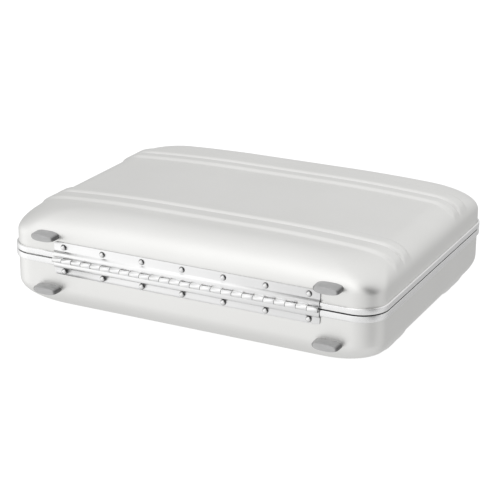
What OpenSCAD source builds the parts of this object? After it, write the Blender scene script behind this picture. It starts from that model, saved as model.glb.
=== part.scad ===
// Hard-shell attache case fitted out to carry eyeglasses frames.
// It lies closed on its base.  +Z is up, +X runs along the hinge, the handle and latches
// are on the -Y side and the piano hinge is on the +Y side.  The origin is on the floor,
// under the centre of the shells.  Millimetres.

/* [Shells] */
// Length of the drawn shells along the hinge
case_w = 457; // [440:1:480]
// Depth of the drawn shells, from handle side to hinge side
case_d = 344; // [330:1:360]
// Height of the lid's flat top above the seam
lid_h = 54.3; // [52:0.1:58]
// Depth of the base's flat underside below the seam
base_h = 67.4; // [66:0.1:72]
// Thickness of the drawn aluminium
wall = 1.6; // [1.4:0.1:1.8]
// Corner radius of the side walls, seen from above
corner_r = 29.5; // [27:0.5:32]

/* [Stiffening beads] */
// Height of the pressed beads
bead_h = 2.6; // [1.5:0.1:2.8]
// Width of the bead of each pair that is nearer to the centre line
bead_in_w = 22.5; // [18:0.5:24]
// Width of the bead of each pair that is nearer to the wall
bead_out_w = 26.5; // [18:0.5:28]
// Distance of the crease between two beads from the centre line
bead_y = 89.5; // [84:0.5:92]

/* [Rim] */
// Height of the lid's rim band above the seam
lid_band_h = 7.5; // [7:0.1:7.6]
// Height of the base's rim band below the seam
base_band_h = 8; // [7:0.1:8]
// How far the rim bands stand out from the shells
band_out = 2.5; // [2:0.1:2.6]
// Open gap between the two rim bands
seam_gap = 0.4; // [0.2:0.1:0.6]

/* [Hinge] */
// Number of knuckles on the piano hinge
knuckles = 26; // [20:2:26]
// Length of one knuckle
knuckle_len = 12.7; // [12:0.1:12.7]
// Outside radius of the barrel
barrel_r = 2.7; // [2.6:0.1:2.8]
// Radius of the hinge pin
hinge_pin_r = 1.4; // [1.2:0.1:1.5]
// Spacing of the hinge rivets
rivet_pitch = 50.8; // [45:0.1:50.8]
// Thickness of the hinge leaves
leaf_t = 1.2; // [1:0.1:1.4]

/* [Feet] */
// Length of a foot
foot_w = 31; // [28:0.5:33]
// Height of a foot
foot_h = 10; // [9:0.1:10.4]
// How far a foot stands out from the wall
foot_out = 12.5; // [10:0.1:13]
// Distance of the feet from the centre, along the hinge
foot_x = 175; // [175:0.5:178]

/* [Latches and handle] */
// Distance of each latch from the centre
latch_x = 140; // [120:1:150]
// How far an unlatched hasp stands open, in degrees
hasp_open = 6; // [5:1:10]
// Distance between the middles of the handle's two arms
handle_w = 116; // [100:1:124]

/* [Interior] */
// Thickness of the lining panels
lining_t = 1.5; // [1.2:0.1:1.6]
// Length of the whole field of compartments
field_w = 392; // [380:1:396]
// Depth of the whole field of compartments
field_d = 280; // [270:1:284]
// Depth of a compartment
pocket_h = 40; // [36:1:42]
// Number of compartments from front to back
pocket_rows = 5; // [4:1:6]

/* [Hidden] */
$fn = 48;

// heights
seam_z = base_h + bead_h;
rim_z = 2;
half_gap = seam_gap / 2;

// edge rounding of the shells: horizontal size, vertical size, growth of the corner radius
lid_round = [43, 33, 0.8];
base_round = [41, 31.5, 0.95];
corner_steps = 6;
edge_steps = 6;
ring_n = 4 * (corner_steps + 1);

// beads: width of the flank at the crease and at the foot, height of the shoulder as a share
// of the whole height, distance from a bead's end to the end of the shell
bead_crease = 6;
bead_foot = 7;
bead_shoulder = 0.6;
bead_end = 37.5;

// rim section; the lip stands inside the shell's wall, and its seat is at rim_z
lip_t = 1.6;
lip_run = 0.3;
lip_h = 10;
band_chamfer = 0.8;
gasket_w = 1.6;
gasket_in = 2.4;
gasket_z = 1.4;

// hinge
hinge_len = knuckles * knuckle_len;
barrel_out = band_out + barrel_r + 0.15;
hinge_y = case_d / 2 + barrel_out;
knuckle_gap = 0.3;
leaf_gap_z = barrel_r + 0.4;
run = 0.05;
lid_rivet_z = 15.06;
base_rivet_z = -13.8;
lid_leaf_z = 20.6;
base_leaf_z = 18.6;

// joggle of a leaf, from over the rim band to flat on the shell, above the band's edge
joggle_from = 0.2;
joggle_to = 1.7;
joggle_lead = 0.7;
rivet_x = [for (i = [-3 : 3]) i * rivet_pitch];

// rivets and screws: head radius, head height, shank radius
hinge_rivet = [3.4, 2.2, 1.6];
small_rivet = [2.4, 1.2, 1.5];
tail_r = 2.4;
tail_h = 0.8;
hole_reach = 10;

// feet
lid_foot_z = 25.9;
base_foot_z = -38.2;
foot_end_bevel = 3.1;
foot_side_bevel = 1.3;
foot_corner = 0.28;
foot_back = 5;
foot_run = 0.02;
foot_screw_x = 7.8;
foot_screw_r = 1.5;
foot_screw_depth = 8;
foot_screw_head = [2.4, 0.8];
foot_screw_seat = 0.88;
lid_foot_screw_z = 23.4;
base_foot_screw_z = -35.4;

// latch, measured outwards from the front wall (q) and up from the seam (z)
hasp_q = 6;
hasp_z = -28;
hasp_w = 22;
hasp_t = 2.4;
hasp_barrel_r = 3;
hasp_pin_r = 1.6;
hasp_top = 12;
hasp_out = 9;
hook_in = 4.2;
latch_x0 = -18;
latch_x1 = 40;
latch_bottom = -33;
latch_top = -11;
latch_q = 5;
latch_floor = 2.4;
cheek_x = 11.4;
cheek_t = 3;
cheek_r = 3.5;
latch_rivet_spots = [[-14.5, -15], [18.5, -14], [18.5, -30], [37, -30]];
button_travel = 6;
button_x = 28;
button_z = -22;
button_r = 5;
button_stem = [3, 2];
button_q = [0.6, 3.2, 5.1, 8];
button_run = 0.2;
keeper_w = 26;
keeper_t = 1.5;
keeper_bottom = 8;
keeper_top = 20;
keeper_bar_w = 18;
keeper_bar_t = 1.2;
keeper_bar_q = 6;
keeper_rivet_x = 8;
keeper_rivet_z = 16;

// handle, measured the same way
handle_q = 10;
handle_z = -17;
handle_pin_r = 2.5;
pin_head = 1.2;
arm_w = 9;
arm_t = 8.4;
arm_len = 24;
arm_eye_r = 5;
arm_end_r = 6;
ear_t = 3;
ear_r = 5.5;
ear_x = arm_w / 2 + 0.3;
plate_w = 36;
plate_h = 15;
plate_t = 2.5;
grip_r = 6.5;
grip_rod_r = 3.5;
handle_rivet_x = [13.5, -13.5];

// stays: pivots in the YZ plane, measured from the hinge axis
stay_y = 60;
stay_z = 9;
stay_t = 2;
stay_r = 4;
stay_pin_r = 2;
stay_head_t = 1.2;
stay_gap = 0.4;
bracket_t = 1.6;
bracket_w = 16;
bracket_h = 12;
base_pivot = [hinge_y - stay_y, -stay_z];
lid_pivot = [hinge_y - stay_y, stay_z];
knee = [hinge_y - 2 * stay_y, 0];

// interior
lining_in = wall + lip_t + 0.2;
inside_in = lining_in + lining_t;
bracket_back = case_w / 2 - inside_in;
bracket_x = bracket_back - bracket_t;
lower_x = bracket_x - stay_gap - stay_t;
upper_x = lower_x - stay_gap - stay_t;
pad_x = upper_x - 3;
pad_y = case_d / 2 - 10.5;
tray_top = -8;
tray_floor = tray_top - pocket_h;
long_t = 10;
cross_t = 8;
long_low = 2;
cross_low = 4;
floor_pad_t = 7;
lid_pad_in = 33.5;
lid_pad_r = 46;
lid_pad_z = 12;
pocket_w = (field_w - long_t) / 2;
pocket_d = (field_d - cross_t * (pocket_rows - 1)) / pocket_rows;

silver = [0.83, 0.83, 0.82];
bright = [0.9, 0.9, 0.9];
grey = [0.6, 0.61, 0.62];
charcoal = [0.2, 0.2, 0.22];

// ---------- helpers ----------

module at_seam() translate([0, 0, seam_z]) children();

// rounded rectangle with true arcs
module plan(w, d, r) {
    square([w - 2 * r, d], center = true);
    square([w, d - 2 * r], center = true);
    for (x = [-1, 1], y = [-1, 1])
        translate([x * (w / 2 - r), y * (d / 2 - r)]) circle(r);
}

// sweeps a section, drawn as (outwards, up), round a rounded rectangle
module rim_sweep(w, d, r) {
    for (side = [0 : 3]) {
        across = side % 2 == 0 ? w : d;
        along = side % 2 == 0 ? d : w;
        rotate([0, 0, 90 * side]) {
            translate([across / 2, 0, 0]) rotate([90, 0, 0])
                linear_extrude(along - 2 * r, center = true) children();
            translate([across / 2 - r, along / 2 - r, 0])
                rotate_extrude(angle = 90) translate([r, 0]) children();
        }
    }
}

// one level of a shell: the points of a rounded rectangle at height z
function ring(w, d, r, z) = [
    for (c = [0 : 3], i = [0 : corner_steps])
        let (a = 90 * (c + i / corner_steps),
             sx = c == 0 || c == 3 ? 1 : -1,
             sy = c < 2 ? 1 : -1)
        [sx * (w / 2 - r) + r * cos(a), sy * (d / 2 - r) + r * sin(a), z]
];

// levels of a dish, from its rim at z0 up over the edge rounding to its flat top at h
function dish_rings(inset, z0, h, round) = [
    ring(case_w - 2 * inset, case_d - 2 * inset, corner_r - inset, z0),
    for (j = [0 : edge_steps])
        let (a = 90 * j / edge_steps,
             run_in = (round[0] - inset) * (1 - cos(a)))
        ring(case_w - 2 * (inset + run_in), case_d - 2 * (inset + run_in),
             corner_r - inset + round[2] * run_in,
             h - inset - (round[1] - inset) * (1 - sin(a)))
];

function band_faces(low, high, out) = [
    for (i = [0 : ring_n - 1], half = [0, 1])
        let (j = (i + 1) % ring_n,
             a = low + i, b = low + j, c = high + j, d = high + i,
             t = half == 0 ? [a, c, b] : [a, d, c])
        out ? t : [t[0], t[2], t[1]]
];

function cap_face(low, out) = [for (i = [0 : ring_n - 1]) out ? low + ring_n - 1 - i : low + i];

// hollow dish, open at its rim
module dish(outer_in, inner_in, z0, h, round) {
    outer = dish_rings(outer_in, z0, h, round);
    inner = dish_rings(inner_in, z0, h, round);
    n = len(outer);
    polyhedron(
        points = [for (r = concat(outer, inner), p = r) p],
        faces = concat(
            [for (k = [0 : n - 2], f = band_faces(k * ring_n, (k + 1) * ring_n, true)) f],
            [cap_face((n - 1) * ring_n, true)],
            [for (k = [0 : n - 2], f = band_faces((n + k) * ring_n, (n + k + 1) * ring_n, false)) f],
            [cap_face((2 * n - 1) * ring_n, false)],
            band_faces(0, n * ring_n, false)));
}

// section of a bead of width w, drawn from its crease outwards
function bead_section(w) = [
    [0, -wall / 2], [0, 0], [bead_crease / 2, bead_shoulder * bead_h], [bead_crease, bead_h],
    [w - bead_foot, bead_h], [w - bead_foot / 2, bead_shoulder * bead_h], [w, 0], [w, -wall / 2]
];

// pressed beads along the flat top, in two pairs that meet in a crease
module beads(h) {
    for (side = [0, 1]) mirror([0, side, 0]) {
        translate([0, bead_y, h]) bead(bead_out_w);
        translate([0, bead_y, h]) mirror([0, 1, 0]) bead(bead_in_w);
    }
}

module bead(w) rotate([90, 0, 90])
    linear_extrude(case_w - 2 * bead_end, center = true) polygon(bead_section(w));

// points a child drawn along +Z outwards through the hinge-side or the front wall
module on_back(x, z) translate([x, case_d / 2, z]) rotate([-90, 0, 0]) children();
module on_front(x, z) translate([x, -case_d / 2, z]) rotate([90, 0, 0]) children();

module hole(r) translate([0, 0, -hole_reach]) cylinder(r = r, h = 3 * hole_reach);

// domed rivet seated at height seat, through the wall to a flattened tail inside
module rivet(size, seat) {
    dome = (size[0] * size[0] + size[1] * size[1]) / (2 * size[1]);
    intersection() {
        translate([0, 0, seat + size[1] - dome]) sphere(dome);
        translate([0, 0, seat]) cylinder(r = size[0] + 1, h = size[1] + 1);
    }
    translate([0, 0, -wall]) cylinder(r = size[2], h = seat + wall + 0.1);
    translate([0, 0, -wall - tail_h]) cylinder(r = tail_r, h = tail_h);
}

// ---------- shells and rim ----------

module lid_shell() color(silver) at_seam() difference() {
    union() {
        dish(0, wall, rim_z, lid_h, lid_round);
        beads(lid_h);
    }
    for (x = rivet_x) on_back(x, lid_rivet_z) hole(hinge_rivet[2]);
    for (s = [-1, 1], t = [-1, 1])
        on_back(s * foot_x + t * foot_screw_x, lid_foot_screw_z) hole(foot_screw_r);
    for (s = [-1, 1], t = [-1, 1])
        on_front(s * latch_x + t * keeper_rivet_x, keeper_rivet_z) hole(small_rivet[2]);
}

module base_shell() color(silver) at_seam() difference() {
    mirror([0, 0, 1]) {
        dish(0, wall, rim_z, base_h, base_round);
        beads(base_h);
    }
    for (x = rivet_x) on_back(x, base_rivet_z) hole(hinge_rivet[2]);
    for (s = [-1, 1], t = [-1, 1])
        on_back(s * foot_x + t * foot_screw_x, base_foot_screw_z) hole(foot_screw_r);
    for (s = [-1, 1], p = latch_rivet_spots)
        on_front(s * (latch_x + p[0]), p[1]) hole(small_rivet[2]);
    for (s = [-1, 1], x = handle_rivet_x)
        on_front(s * handle_w / 2 + x, handle_z) hole(small_rivet[2]);
}

// channel that holds a shell's edge, with a proud band outside; drawn upwards from the seam
module rim_section(band_h, with_groove) {
    difference() {
        polygon([[-wall - lip_t, half_gap],
                 [band_out - band_chamfer, half_gap],
                 [band_out, half_gap + band_chamfer],
                 [band_out, band_h - band_chamfer],
                 [band_out - band_chamfer, band_h],
                 [0, band_h], [0, rim_z], [-wall - lip_run, rim_z],
                 [-wall - lip_run, lip_h], [-wall - lip_t, lip_h]]);
        if (with_groove)
            translate([-gasket_in, -1]) square([gasket_w, gasket_z + 1]);
    }
}

module lid_frame() color(bright) at_seam()
    rim_sweep(case_w, case_d, corner_r) rim_section(lid_band_h, true);

module base_frame() color(bright) at_seam() mirror([0, 0, 1])
    rim_sweep(case_w, case_d, corner_r) rim_section(base_band_h, false);

module rim_gasket() color(charcoal) at_seam()
    rim_sweep(case_w, case_d, corner_r)
        translate([-gasket_in, -half_gap]) square([gasket_w, gasket_z + half_gap]);

// ---------- piano hinge ----------

// Section of a leaf as (outwards, up): flat on the shell, joggled out over the rim band.
module leaf_section(top, band_h)
    polygon([[0, band_h + joggle_to], [band_out, band_h + joggle_from], [band_out, leaf_gap_z],
             [band_out + leaf_t, leaf_gap_z], [band_out + leaf_t, band_h + joggle_from + joggle_lead],
             [leaf_t, band_h + joggle_to + joggle_lead], [leaf_t, top], [0, top]]);

// A leaf with every second knuckle; first is 0 or 1, the knuckle it starts with at the +X end
module leaf(top, band_h, first, bore_r, rivet_at) {
    difference() {
        union() {
            translate([0, case_d / 2, 0]) rotate([90, 0, 90])
                linear_extrude(hinge_len, center = true) leaf_section(top, band_h);
            for (i = [first : 2 : knuckles - 1])
                translate([hinge_len / 2 - (i + 0.5) * knuckle_len, 0, 0]) {
                    translate([-knuckle_len / 2 + knuckle_gap / 2, case_d / 2 + band_out, 0])
                        cube([knuckle_len - knuckle_gap, leaf_t, leaf_gap_z + 1]);
                    translate([0, hinge_y, 0]) rotate([0, 90, 0])
                        cylinder(r = barrel_r, h = knuckle_len - knuckle_gap, center = true);
                }
        }
        translate([0, hinge_y, 0]) rotate([0, 90, 0])
            cylinder(r = bore_r, h = hinge_len + 2, center = true);
        for (x = rivet_x) on_back(x, rivet_at) hole(hinge_rivet[2]);
    }
}

module lid_hinge_leaf() color(bright) at_seam()
    leaf(lid_leaf_z, lid_band_h, 0, hinge_pin_r + run, lid_rivet_z);

module base_hinge_leaf() color(bright) at_seam() mirror([0, 0, 1])
    leaf(base_leaf_z, base_band_h, 1, hinge_pin_r, -base_rivet_z);

module hinge_pin() color(grey) at_seam() translate([0, hinge_y, 0]) rotate([0, 90, 0])
    cylinder(r = hinge_pin_r, h = hinge_len - 1, center = true);

module lid_hinge_rivets() color(bright) at_seam()
    for (x = rivet_x) on_back(x, lid_rivet_z) rivet(hinge_rivet, leaf_t);

module base_hinge_rivets() color(bright) at_seam()
    for (x = rivet_x) on_back(x, base_rivet_z) rivet(hinge_rivet, leaf_t);

// ---------- feet ----------

function octagon(w, h, c) = [
    [c - w / 2, -h / 2], [w / 2 - c, -h / 2], [w / 2, c - h / 2], [w / 2, h / 2 - c],
    [w / 2 - c, h / 2], [c - w / 2, h / 2], [-w / 2, h / 2 - c], [-w / 2, c - h / 2]
];

// section of a bevelled block, w wide, from y = -foot_back out to foot_out
function bevelled(w, bevel) = [
    [-w / 2, -foot_back], [w / 2, -foot_back], [w / 2, foot_out - bevel],
    [w / 2 - bevel, foot_out], [bevel - w / 2, foot_out], [-w / 2, foot_out - bevel]
];

// outline of a shell's wall and edge rounding as (outwards, up), closed behind the wall
function wall_profile(h, round) = concat([[-round[0], 0], [0, 0]], [
    for (j = [0 : edge_steps])
        let (a = 90 * j / edge_steps)
        [-round[0] * (1 - cos(a)), h - round[1] * (1 - sin(a))]
]);

// Bevelled eight-sided block whose back follows the shell.  z is its height from the seam.
module foot(x, z, h, round, screw_z) {
    translate([x, case_d / 2, 0]) difference() {
        intersection() {
            translate([0, foot_out, z]) rotate([90, 0, 0])
                linear_extrude(foot_out + foot_back)
                    polygon(octagon(foot_w, foot_h, foot_h * foot_corner));
            translate([0, 0, z]) rotate([90, 0, 90])
                linear_extrude(foot_w + 2, center = true)
                    polygon([for (p = bevelled(foot_h, foot_side_bevel)) [p[1], p[0]]]);
            translate([0, 0, z]) linear_extrude(foot_h + 2, center = true)
                polygon(bevelled(foot_w, foot_end_bevel));
        }
        translate([0, foot_run, 0]) rotate([90, 0, 90])
            linear_extrude(foot_w + 2, center = true) polygon(wall_profile(h, round));
        for (t = [-1, 1])
            translate([t * foot_screw_x, -foot_back, screw_z]) rotate([-90, 0, 0])
                cylinder(r = foot_screw_r, h = foot_back + foot_screw_depth);
    }
}

module lid_feet() color(grey) at_seam()
    for (s = [-1, 1]) foot(s * foot_x, lid_foot_z, lid_h, lid_round, lid_foot_screw_z);

module base_feet() color(grey) at_seam() mirror([0, 0, 1])
    for (s = [-1, 1]) foot(s * foot_x, -base_foot_z, base_h, base_round, -base_foot_screw_z);

module foot_screws(z) {
    seat = wall + foot_screw_seat;
    for (s = [-1, 1], t = [-1, 1])
        on_back(s * foot_x + t * foot_screw_x, z) {
            translate([0, 0, -seat - foot_screw_head[1]])
                cylinder(r = foot_screw_head[0], h = foot_screw_head[1]);
            translate([0, 0, -seat - 0.1])
                cylinder(r = foot_screw_r, h = seat + 0.1 + foot_screw_depth);
        }
}

module lid_foot_screws() color(grey) at_seam() foot_screws(lid_foot_screw_z);
module base_foot_screws() color(grey) at_seam() foot_screws(base_foot_screw_z);

// ---------- front fittings ----------
// q is the distance out from the front wall, z the height from the seam

module front_box(x, q, z)
    translate([x[0], -case_d / 2 - q[1], z[0]]) cube([x[1] - x[0], q[1] - q[0], z[1] - z[0]]);

module front_rod(x, q, z, r)
    translate([x[0], -case_d / 2 - q, z]) rotate([0, 90, 0]) cylinder(r = r, h = x[1] - x[0]);

// ---------- handle ----------

module handle_brackets() color(silver) at_seam() for (s = [-1, 1])
    translate([s * handle_w / 2, 0, 0]) difference() {
        union() {
            front_box([-plate_w / 2, plate_w / 2], [0, plate_t],
                      [handle_z - plate_h / 2, handle_z + plate_h / 2]);
            for (x = [[ear_x, ear_x + ear_t], [-ear_x - ear_t, -ear_x]]) {
                front_box(x, [0, handle_q], [handle_z - ear_r, handle_z + ear_r]);
                front_rod(x, handle_q, handle_z, ear_r);
            }
        }
        front_rod([-plate_w, plate_w], handle_q, handle_z, handle_pin_r);
        for (x = handle_rivet_x) translate([x, -case_d / 2, handle_z]) rotate([90, 0, 0])
            hole(small_rivet[2]);
    }

module handle_pins() color(bright) at_seam() for (s = [-1, 1])
    translate([s * handle_w / 2, 0, 0]) {
        reach = ear_x + ear_t;
        front_rod([-reach, reach], handle_q, handle_z, handle_pin_r);
        front_rod([reach, reach + pin_head], handle_q, handle_z, handle_pin_r + pin_head);
        front_rod([-reach - pin_head, -reach], handle_q, handle_z, handle_pin_r + pin_head);
    }

module handle_rivets() color(bright) at_seam()
    for (s = [-1, 1], x = handle_rivet_x)
        on_front(s * handle_w / 2 + x, handle_z) rivet(small_rivet, plate_t);

// steel bow: two arms joined by a rod that runs through the grip
module handle_arms() color(silver) at_seam() difference() {
    union() {
        for (s = [-1, 1]) translate([s * handle_w / 2, 0, 0]) {
            front_rod([-arm_w / 2, arm_w / 2], handle_q, handle_z, arm_eye_r);
            front_box([-arm_w / 2, arm_w / 2], [handle_q - arm_t / 2, handle_q + arm_t / 2],
                      [handle_z - arm_len, handle_z]);
            front_rod([-arm_w / 2, arm_w / 2], handle_q, handle_z - arm_len, arm_end_r);
        }
        front_rod([-handle_w / 2, handle_w / 2], handle_q, handle_z - arm_len, grip_rod_r);
    }
    for (s = [-1, 1]) translate([s * handle_w / 2, 0, 0])
        front_rod([-arm_w, arm_w], handle_q, handle_z, handle_pin_r + run);
}

module handle_grip() color(charcoal) at_seam() difference() {
    end = handle_w / 2 - arm_w / 2;
    front_rod([-end, end], handle_q, handle_z - arm_len, grip_r);
    front_rod([-end - 1, end + 1], handle_q, handle_z - arm_len, grip_rod_r);
}

// ---------- latches ----------

// the right-hand latch is drawn at x = 0 and mirrored for the left
module at_latch(s) translate([s * latch_x, 0, 0]) mirror([s < 0 ? 1 : 0, 0, 0]) children();

module latch_body(s) at_seam() at_latch(s) difference() {
    union() {
        front_box([latch_x0, latch_x1], [0, latch_q], [latch_bottom, latch_top]);
        for (x = [[-cheek_x - cheek_t, -cheek_x], [cheek_x, cheek_x + cheek_t]]) {
            front_box(x, [0, hasp_q], [hasp_z - cheek_r, hasp_z + cheek_r]);
            front_rod(x, hasp_q, hasp_z, cheek_r);
        }
    }
    front_box([-cheek_x, cheek_x], [latch_floor, 2 * hasp_out],
              [latch_bottom - 1, hasp_z + cheek_r + 1]);
    front_rod([latch_x0 - 1, cheek_x + cheek_t + 1], hasp_q, hasp_z, hasp_pin_r);
    front_box([button_x - button_r - 2, button_x + button_r - 1 + button_travel + button_run],
              [-1, button_q[1] + button_run],
              [button_z - button_r - button_run, button_z + button_r + button_run]);
    front_box([button_x - button_stem[0] - 0.1, button_x + button_stem[0] + 0.1 + button_travel],
              [button_q[1] - 0.2, 2 * hasp_out],
              [button_z - button_stem[1] - 0.1, button_z + button_stem[1] + 0.1]);
    for (p = latch_rivet_spots) translate([p[0], -case_d / 2, p[1]]) rotate([90, 0, 0])
        hole(small_rivet[2]);
}

module hasp(s) at_seam() at_latch(s)
    translate([0, -case_d / 2 - hasp_q, hasp_z]) rotate([hasp_open, 0, 0])
        translate([0, case_d / 2 + hasp_q, -hasp_z]) difference() {
            union() {
                front_rod([-hasp_w / 2, hasp_w / 2], hasp_q, hasp_z, hasp_barrel_r);
                front_box([-hasp_w / 2, hasp_w / 2], [hasp_out - hasp_t, hasp_out],
                          [hasp_z, hasp_top]);
                front_box([-hasp_w / 2, hasp_w / 2], [hook_in, hasp_out],
                          [hasp_top - hasp_t, hasp_top]);
            }
            front_rod([-hasp_w, hasp_w], hasp_q, hasp_z, hasp_pin_r + run);
        }

module latch_button(s) at_seam() at_latch(s) {
    high = [button_z - button_r, button_z + button_r];
    front_box([button_x - button_r, button_x + button_r], [button_q[2], button_q[3]], high);
    front_box([button_x - button_stem[0], button_x + button_stem[0]],
              [button_q[1] - 0.2, button_q[2] + 0.1],
              [button_z - button_stem[1], button_z + button_stem[1]]);
    front_box([button_x - button_r - 1, button_x + button_r - 1], [button_q[0], button_q[1]], high);
}

module left_latch_body() color(silver) latch_body(-1);
module right_latch_body() color(silver) latch_body(1);
module left_hasp() color(bright) hasp(-1);
module right_hasp() color(bright) hasp(1);
module left_latch_button() color(grey) latch_button(-1);
module right_latch_button() color(grey) latch_button(1);

module hasp_pins() color(grey) at_seam() for (s = [-1, 1]) at_latch(s)
    front_rod([-cheek_x - cheek_t, cheek_x + cheek_t], hasp_q, hasp_z, hasp_pin_r);

module latch_rivets() color(bright) at_seam()
    for (s = [-1, 1], p = latch_rivet_spots)
        on_front(s * (latch_x + p[0]), p[1]) rivet(small_rivet, latch_q);

module latch_keepers() color(silver) at_seam() for (s = [-1, 1]) at_latch(s) difference() {
    union() {
        front_box([-keeper_w / 2, keeper_w / 2], [0, keeper_t], [keeper_bottom, keeper_top]);
        front_box([-keeper_bar_w / 2, keeper_bar_w / 2], [keeper_t, keeper_bar_q],
                  [keeper_bottom, keeper_bottom + keeper_bar_t]);
    }
    for (t = [-1, 1])
        translate([t * keeper_rivet_x, -case_d / 2, keeper_rivet_z]) rotate([90, 0, 0])
            hole(small_rivet[2]);
}

module keeper_rivets() color(bright) at_seam()
    for (s = [-1, 1], t = [-1, 1])
        on_front(s * latch_x + t * keeper_rivet_x, keeper_rivet_z) rivet(small_rivet, keeper_t);

// ---------- lid stays ----------
// Each stay is a parallelogram of two links with the hinge axis: base pivot, lid pivot, knee.

// flat child drawn in (y, z), thickened from x0 along +X, and mirrored for the left side
module side_plate(s, x0, t) mirror([s < 0 ? 1 : 0, 0, 0])
    translate([x0, 0, 0]) rotate([90, 0, 90]) linear_extrude(t) children();

module bar(a, b, hole_a, hole_b) {
    v = b - a;
    difference() {
        translate(a) rotate(atan2(v[1], v[0])) {
            translate([0, -stay_r]) square([norm(v), 2 * stay_r]);
            circle(stay_r);
            translate([norm(v), 0]) circle(stay_r);
        }
        translate(a) circle(hole_a);
        translate(b) circle(hole_b);
    }
}

module lower_stay(s) color(bright) at_seam() side_plate(s, lower_x, stay_t)
    bar(base_pivot, knee, stay_pin_r + run, stay_pin_r);

module upper_stay(s) color(bright) at_seam() side_plate(s, upper_x, stay_t)
    bar(lid_pivot, knee, stay_pin_r + run, stay_pin_r + run);

module knee_pin(s) color(grey) at_seam() {
    side_plate(s, upper_x - stay_gap / 2, lower_x + stay_t - upper_x + stay_gap / 2)
        translate(knee) circle(stay_pin_r);
    side_plate(s, upper_x - stay_gap / 2 - stay_head_t, stay_head_t)
        translate(knee) circle(stay_pin_r + stay_head_t);
}

module left_lower_stay() lower_stay(-1);
module right_lower_stay() lower_stay(1);
module left_upper_stay() upper_stay(-1);
module right_upper_stay() upper_stay(1);
module left_knee_pin() knee_pin(-1);
module right_knee_pin() knee_pin(1);

// plate on the lining with a headed stud that carries a link whose inner face is at link_x
module stay_bracket(s, pivot, link_x) {
    side_plate(s, bracket_x, bracket_back - bracket_x)
        translate(pivot) square([bracket_w, bracket_h], center = true);
    if (link_x + stay_t < bracket_x - 1)
        side_plate(s, link_x + stay_t + 0.3, bracket_x - link_x - stay_t - 0.3)
            translate(pivot) circle(stay_pin_r + 2.2);
    side_plate(s, link_x - stay_gap / 2, bracket_x - link_x + stay_gap / 2)
        translate(pivot) circle(stay_pin_r);
    side_plate(s, link_x - stay_gap / 2 - stay_head_t, stay_head_t)
        translate(pivot) circle(stay_pin_r + stay_head_t);
}

module stay_base_brackets() color(silver) at_seam()
    for (s = [-1, 1]) stay_bracket(s, base_pivot, lower_x);

module stay_lid_brackets() color(silver) at_seam()
    for (s = [-1, 1]) stay_bracket(s, lid_pivot, upper_x);

// ---------- interior ----------

module lid_lining() color(charcoal) at_seam() dish(lining_in, inside_in, 1, lid_h, lid_round);

module base_lining() color(charcoal) at_seam() mirror([0, 0, 1])
    dish(lining_in, inside_in, 1, base_h, base_round);

module slab(inset, r, low, high)
    translate([0, 0, low]) linear_extrude(high - low)
        plan(case_w - 2 * inset, case_d - 2 * inset, r);

module lid_pad() color(charcoal) at_seam() slab(lid_pad_in, lid_pad_r, lid_pad_z, lid_h - 6.3);

module tray_floor_pad() color(charcoal) at_seam() {
    step = tray_floor - floor_pad_t;
    slab(18, 42, step, tray_floor);
    slab(39.5, 58, wall + lining_t + 2 - base_h, step);
}

module tray_side_pads() color(charcoal) at_seam() translate([0, 0, tray_floor]) {
    for (s = [-1, 1]) {
        depth = pad_y - field_d / 2;
        translate([-field_w / 2, s > 0 ? field_d / 2 : -pad_y, 0]) cube([field_w, depth, pocket_h]);
        width = pad_x - field_w / 2;
        translate([s > 0 ? field_w / 2 : -pad_x, -field_d / 2, 0]) cube([width, field_d, pocket_h]);
    }
}

module tray_long_divider() color(charcoal) at_seam()
    translate([-long_t / 2, -field_d / 2, tray_floor]) cube([long_t, field_d, pocket_h - long_low]);

module tray_cross_dividers() color(charcoal) at_seam()
    for (s = [-1, 1], i = [1 : pocket_rows - 1])
        translate([s > 0 ? long_t / 2 : -field_w / 2,
                   i * (pocket_d + cross_t) - cross_t - field_d / 2, tray_floor])
            cube([pocket_w, cross_t, pocket_h - cross_low]);

base_shell();
lid_shell();
base_frame();
lid_frame();
rim_gasket();
base_hinge_leaf();
lid_hinge_leaf();
hinge_pin();
base_hinge_rivets();
lid_hinge_rivets();
base_feet();
lid_feet();
base_foot_screws();
lid_foot_screws();
handle_grip();
handle_arms();
handle_brackets();
handle_pins();
handle_rivets();
left_latch_body();
right_latch_body();
left_hasp();
right_hasp();
hasp_pins();
left_latch_button();
right_latch_button();
latch_rivets();
latch_keepers();
keeper_rivets();
stay_base_brackets();
stay_lid_brackets();
left_lower_stay();
right_lower_stay();
left_upper_stay();
right_upper_stay();
left_knee_pin();
right_knee_pin();
base_lining();
lid_lining();
lid_pad();
tray_floor_pad();
tray_side_pads();
tray_long_divider();
tray_cross_dividers();
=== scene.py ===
"""Looks of an aluminium attache case fitted out to carry eyeglasses frames.

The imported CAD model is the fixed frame.  Everything here is in metres in its frame: +Z up,
the hinge on the +Y side, the handle and latches on the -Y side.  (u, z) sections are drawn
outwards from a shell's wall and away from the seam, so one set of code makes lid and base.
"""

import math

import bmesh
import bpy
import numpy as np
from mathutils import Matrix, Quaternion, Vector


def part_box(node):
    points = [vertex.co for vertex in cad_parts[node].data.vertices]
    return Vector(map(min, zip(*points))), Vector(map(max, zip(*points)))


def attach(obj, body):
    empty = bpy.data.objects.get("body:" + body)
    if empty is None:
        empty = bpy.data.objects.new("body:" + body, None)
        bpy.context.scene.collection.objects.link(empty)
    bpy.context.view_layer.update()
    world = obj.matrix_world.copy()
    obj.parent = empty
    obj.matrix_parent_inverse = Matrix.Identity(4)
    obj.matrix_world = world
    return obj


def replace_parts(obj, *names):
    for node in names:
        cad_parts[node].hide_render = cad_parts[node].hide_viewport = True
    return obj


MM = 0.001

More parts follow.
